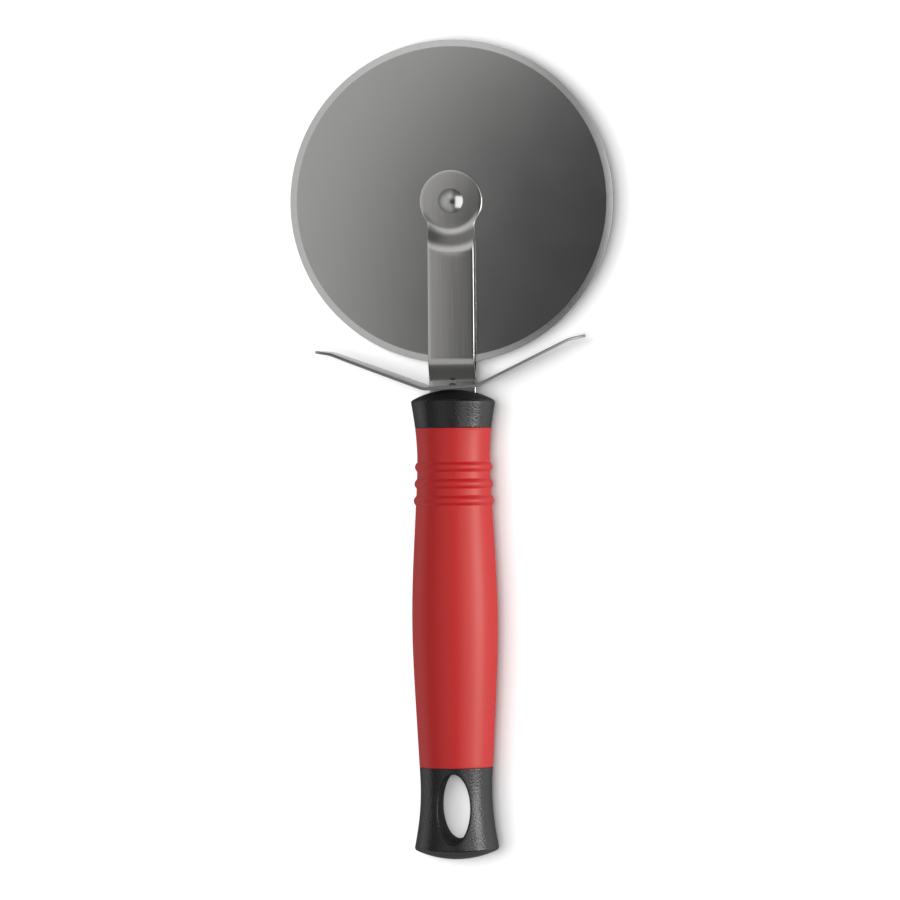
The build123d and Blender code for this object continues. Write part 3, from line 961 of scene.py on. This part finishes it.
dressed = add(tree, "GeometryNodeSetMaterial", {"Geometry": real.outputs[0], "Material": given["Material"]})
add(tree, "NodeGroupOutput", {"Sleeve": dressed.outputs[0]})

maker = grip_maker.modifiers.new("sleeve", "NODES")
maker.node_group = tree
sockets = {item.name: item.identifier for item in tree.interface.items_tree if item.in_out == "INPUT"}
for name, (_, value) in sleeve_sizes.items():
    maker[sockets[name]] = value
maker[sockets["Material"]] = silicone
grip_mesh = bpy.data.meshes.new_from_object(grip_maker.evaluated_get(bpy.context.evaluated_depsgraph_get()))
grip_maker.modifiers.clear()
bpy.data.objects.remove(grip_maker)
work = bmesh.new()
work.from_mesh(grip_mesh)
bmesh.ops.recalc_face_normals(work, faces=work.faces)
work.to_mesh(grip_mesh)
work.free()
grip_mesh.shade_smooth()
grip_mesh.set_sharp_from_angle(angle=math.radians(40))
grip = placed("grip_sleeve", grip_mesh)
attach(grip, "handle")
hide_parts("grip")

# End cap
# A black polypropylene cap with a shallow domed end, its spigot glued in the core's socket. An oval
# hanging hole goes right through it, with a soft rounded lip on both faces.
spigot_radius = 6.12 * mm
spigot_bore = spigot_radius - 1.8 * mm
spigot_length = 12 * mm
spigot_floor = 3.5 * mm
spigot_ease = 0.4 * mm
hole_half_width = 4.95 * mm
hole_half_length = 10.6 * mm
hole_lip = 0.8 * mm
hole_place = grip_back - 12.45 * mm
cap_sides = 120
patch_columns = 32
patch_rows = 44
patch_rings = 9
lip_steps = 7
wall_steps = 6
patch_front = grip_back - 0.32 * mm
patch_back = cap_rim + 0.92 * mm
patch_turn = 2 * math.pi * (patch_columns / 2) / cap_sides

cap_front = eased((0, grip_back), back_corner, (handle_radius(patch_front), patch_front), parting_round)
cap_tip = dome(cap_rim_radius, cap_dome_height, cap_rim, -1, dome_gap)
cap_lead = [
    (0.0, grip_back + spigot_floor),
    (spigot_bore, grip_back + spigot_floor),
    (spigot_bore, grip_back + spigot_length),
    (spigot_radius - spigot_ease, grip_back + spigot_length),
    (spigot_radius, grip_back + spigot_length - spigot_ease),
    (spigot_radius, grip_back),
]
cap_lead += cap_front
cap_middle = []
for i in range(patch_rows + 1):
    place = patch_front + (patch_back - patch_front) * i / patch_rows
    cap_middle.append((handle_radius(place), place))
side_end = cap_rim + rim_round
cap_tail = eased((handle_radius(side_end), side_end), cap_tip[-1], cap_tip[-2], rim_round, 8)
cap_tail += [point for point in reversed(cap_tip) if point[0] < cap_rim_radius - rim_round]
cap_outline = cap_lead + cap_middle + cap_tail
first_middle = len(cap_lead)
last_middle = first_middle + patch_rows

# The cap is turned, but for a patch over each mouth of the hole. The patch runs in rings from its border to
# the oval, over the lip, and down the wall to the mid plane.
points = []
faces = []
for s in range(cap_sides):
    for radius, place in cap_outline:
        points.append(round_handle(radius, place, 2 * math.pi * s / cap_sides))
count = len(cap_outline)
half_patch = patch_columns // 2
for s in range(cap_sides):
    offset = min(s, cap_sides - 1 - s)
    over_hole = offset < half_patch or abs(s + 0.5 - cap_sides / 2) < half_patch
    for i in range(count - 1):
        if over_hole and first_middle <= i < last_middle:
            continue
        here = s * count + i
        there = (s + 1) % cap_sides * count + i
        faces.append((here, here + 1, there + 1, there))


def on_cap(turn, place, hand):
    """A point on the cap's side, at a turn from its top or, for the other hand, from its underside."""
    radius = handle_radius(place)
    return Vector((radius * math.sin(turn), place, pivot.z + hand * radius * math.cos(turn)))


def on_oval(angle, growth):
    """The turn and place of a point on an oval that is larger than the hole by a growth all round."""
    across = (hole_half_width + growth) * math.cos(angle)
    place = hole_place + (hole_half_length + growth) * math.sin(angle)
    return math.asin(across / handle_radius(place)), place


patch_corners = [(-1.0, 1.0), (1.0, 1.0), (1.0, -1.0), (-1.0, -1.0)]
border = []
for k, parts in enumerate((patch_columns, patch_rows, patch_columns, patch_rows)):
    x, y = patch_corners[k]
    next_x, next_y = patch_corners[(k + 1) % 4]
    border += [(x + (next_x - x) * i / parts, y + (next_y - y) * i / parts) for i in range(parts)]
patch_middle = (patch_front + patch_back) / 2
patch_half = (patch_front - patch_back) / 2
for hand in (1, -1):
    rings = []
    for ring in range(patch_rings + 1):
        share = ring / patch_rings
        loop = []
        for x, y in border:
            inner_turn, inner_place = on_oval(math.atan2(y, x), hole_lip)
            turn = x * patch_turn * (1 - share) + inner_turn * share
            place = (patch_middle + y * patch_half) * (1 - share) + inner_place * share
            loop.append(on_cap(turn, place, hand))
        rings.append(loop)
    for k in range(1, lip_steps + 1):
        t = k / lip_steps
        loop = []
        for x, y in border:
            angle = math.atan2(y, x)
            start = on_cap(*on_oval(angle, hole_lip), hand)
            corner = on_cap(*on_oval(angle, 0.0), hand)
            end = corner - Vector((0, 0, hand * hole_lip))
            loop.append(start * (1 - t) ** 2 + corner * 2 * t * (1 - t) + end * t**2)
        rings.append(loop)
    for k in range(1, wall_steps + 1):
        share = k / wall_steps
        loop = []
        for point in rings[patch_rings + lip_steps]:
            loop.append(Vector((point.x, point.y, point.z + (pivot.z - point.z) * share)))
        rings.append(loop)
    for a, b in zip(rings, rings[1:]):
        base = len(points)
        points += a + b
        for i in range(len(border)):
            j = (i + 1) % len(border)
            faces.append((base + i, base + j, base + len(border) + j, base + len(border) + i))
end_cap = finished("end_cap_with_hole", points, faces, crease_deg=40)
end_cap.data.materials.append(black_plastic)
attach(end_cap, "handle")
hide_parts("end_cap")

# Floor
# Matt white paper. Seen directly or in a reflection it is white, and it sends less light than that back
# up under the tool.
floor_size = 6.0
floor_mesh = bpy.data.meshes.new("floor")
corners = [(-1, -1), (1, -1), (1, 1), (-1, 1)]
floor_mesh.from_pydata([(x * floor_size, y * floor_size, 0) for x, y in corners], [], [(0, 1, 2, 3)])
floor = placed("floor", floor_mesh)
paper = bpy.data.materials.new("matt_white_paper")
paper.use_nodes = True
tree = paper.node_tree
tree.nodes.clear()
bright_paper = add(tree, "ShaderNodeBsdfDiffuse", {"Color": linear("#F0F0F0")})
dim_paper = add(tree, "ShaderNodeBsdfDiffuse", {"Color": linear("#B2B2B2")})
ray = add(tree, "ShaderNodeLightPath", {})
seen = ray.outputs["Is Camera Ray"]
for kind in ("Is Glossy Ray", "Is Transmission Ray"):
    seen = add(tree, "ShaderNodeMath", {0: seen, 1: ray.outputs[kind]}, operation="MAXIMUM").outputs[0]
whole = add(tree, "ShaderNodeMixShader", {0: seen, 1: dim_paper.outputs[0], 2: bright_paper.outputs[0]})
add(tree, "ShaderNodeOutputMaterial", {"Surface": whole.outputs[0]})
floor.data.materials.append(paper)

# Studio
# A pale tent, brightest overhead, dim towards the ground and on the right, with a dark round gap for the
# lens. Two panels on the right and the tent's wide top light the tool. Three panels above light the paper
# alone, which gives its narrow soft shadow.
scene = bpy.context.scene
scene.view_settings.view_transform = "Standard"
world = bpy.data.worlds.new("tent")
scene.world = world
world.use_nodes = True
tree = world.node_tree
tree.nodes.clear()
tent_low = 0.26
tent_high = 0.6
right_share = 0.47
gap_level = 0.08
gap_aim = Vector((math.tan(math.radians(5.6)), math.tan(math.radians(-1.5)), 1)).normalized()
look = add(tree, "ShaderNodeTexCoord", {}).outputs["Generated"]
heading = add(tree, "ShaderNodeVectorMath", {0: look}, operation="NORMALIZE").outputs[0]
split = add(tree, "ShaderNodeSeparateXYZ", {"Vector": heading})

level = 1.0
for axis, start, end, low, high in (
    ("Z", 0.5, 0.86, tent_low, tent_high),
    ("X", -0.02, 0.2, 1.0, right_share),
):
    inputs = {"Value": split.outputs[axis], "From Min": start, "From Max": end}
    inputs.update({"To Min": low, "To Max": high})
    share = add(tree, "ShaderNodeMapRange", inputs, interpolation_type="SMOOTHSTEP").outputs[0]
    level = add(tree, "ShaderNodeMath", {0: level, 1: share}, operation="MULTIPLY").outputs[0]

# A lit patch of the tent beyond the blade, a wide faint one on the left, and the gap for the lens.
for aim, inner_deg, outer_deg, inside, outside, joined in (
    ((-0.1, 0.42, 0.9), 7, 18, 0.24, 0.0, "ADD"),
    ((-0.57, 0.0, 0.82), 12, 40, 0.13, 0.0, "ADD"),
    (gap_aim, 10, 16, gap_level, 1.0, "MULTIPLY"),
):
    aim = tuple(Vector(aim).normalized())
    facing = add(tree, "ShaderNodeVectorMath", {0: heading, 1: aim}, operation="DOT_PRODUCT")
    off_aim = add(tree, "ShaderNodeMath", {0: facing.outputs["Value"]}, operation="ARCCOSINE").outputs[0]
    inputs = {"Value": off_aim, "From Min": math.radians(inner_deg), "From Max": math.radians(outer_deg)}
    inputs.update({"To Min": inside, "To Max": outside})
    patch = add(tree, "ShaderNodeMapRange", inputs, interpolation_type="SMOOTHSTEP").outputs[0]
    level = add(tree, "ShaderNodeMath", {0: level, 1: patch}, operation=joined).outputs[0]
ray = add(tree, "ShaderNodeLightPath", {})
level = add(tree, "ShaderNodeMix", {"Factor": ray.outputs["Is Camera Ray"], "A": level, "B": 1.0})
sky = add(tree, "ShaderNodeBackground", {"Color": linear("#FFFFFF"), "Strength": level.outputs["Result"]})
add(tree, "ShaderNodeOutputWorld", {"Surface": sky.outputs[0]})

tool_only = bpy.data.collections.new("lit_by_right_panels")
paper_only = bpy.data.collections.new("lit_by_paper_panels")
for lit in scene.collection.objects:
    if lit.type == "MESH":
        (paper_only if lit == floor else tool_only).objects.link(lit)
panel_distance = 1.3
for name, lean_deg, spread_deg, along_deg, radiance, lit, mirrored in (
    ("panel_right_low", 72, 12, 13, 9.0, tool_only, True),
    ("panel_right_high", 38, 18, 26, 1.65, tool_only, True),
    ("tent_top", -8, 25, 25, 0.6, tool_only, False),
    ("paper_panel_wide", -13, 9, 10, 12.9, paper_only, True),
    ("paper_panel_over", -0.9, 4.1, 8.5, 26.0, paper_only, True),
    ("paper_panel_lens", 5.1, 3, 3, 64.0, paper_only, True),
):
    lamp = bpy.data.lights.new(name, "AREA")
    lamp.shape = "RECTANGLE"
    lamp.size = 2 * panel_distance * math.tan(math.radians(along_deg))
    lamp.size_y = 2 * panel_distance * math.tan(math.radians(spread_deg))
    lamp.energy = radiance * math.pi * lamp.size * lamp.size_y
    panel = placed(name, lamp)
    lean = math.radians(lean_deg)
    panel.location = Vector((math.sin(lean), 0, math.cos(lean))) * panel_distance
    panel.rotation_euler = (-panel.location).to_track_quat("-Z", "Y").to_euler()
    panel.visible_camera = False
    panel.visible_glossy = mirrored
    panel.light_linking.receiver_collection = lit

# Camera
# It looks down on the tool from 1.35 m, five degrees to its right, and is rolled by half a degree. Its lens
# is long, so the outlines of the tool hardly draw together.
camera_reach = 1.35
camera_lean = math.radians(5.1)
camera_nod = math.radians(0.2)
camera_roll = math.radians(0.53)
frame_pixels = 900
focal_pixels = 4372
aim = Vector((-1.05 * mm, -0.3 * mm, pivot.z))
lens = bpy.data.cameras.new("camera")
lens.sensor_width = 36
lens.lens = focal_pixels / frame_pixels * lens.sensor_width
lens.clip_start = 0.01
camera = placed("camera", lens)
back = Vector((math.tan(camera_lean), -math.tan(camera_nod), 1)).normalized()
rough_up = Vector((math.sin(camera_roll), math.cos(camera_roll), 0))
right = rough_up.cross(back).normalized()
true_up = back.cross(right)
place = aim + camera_reach * back
camera.matrix_world = Matrix(
    (
        (right.x, true_up.x, back.x, place.x),
        (right.y, true_up.y, back.y, place.y),
        (right.z, true_up.z, back.z, place.z),
        (0, 0, 0, 1),
    )
)
scene.camera = camera
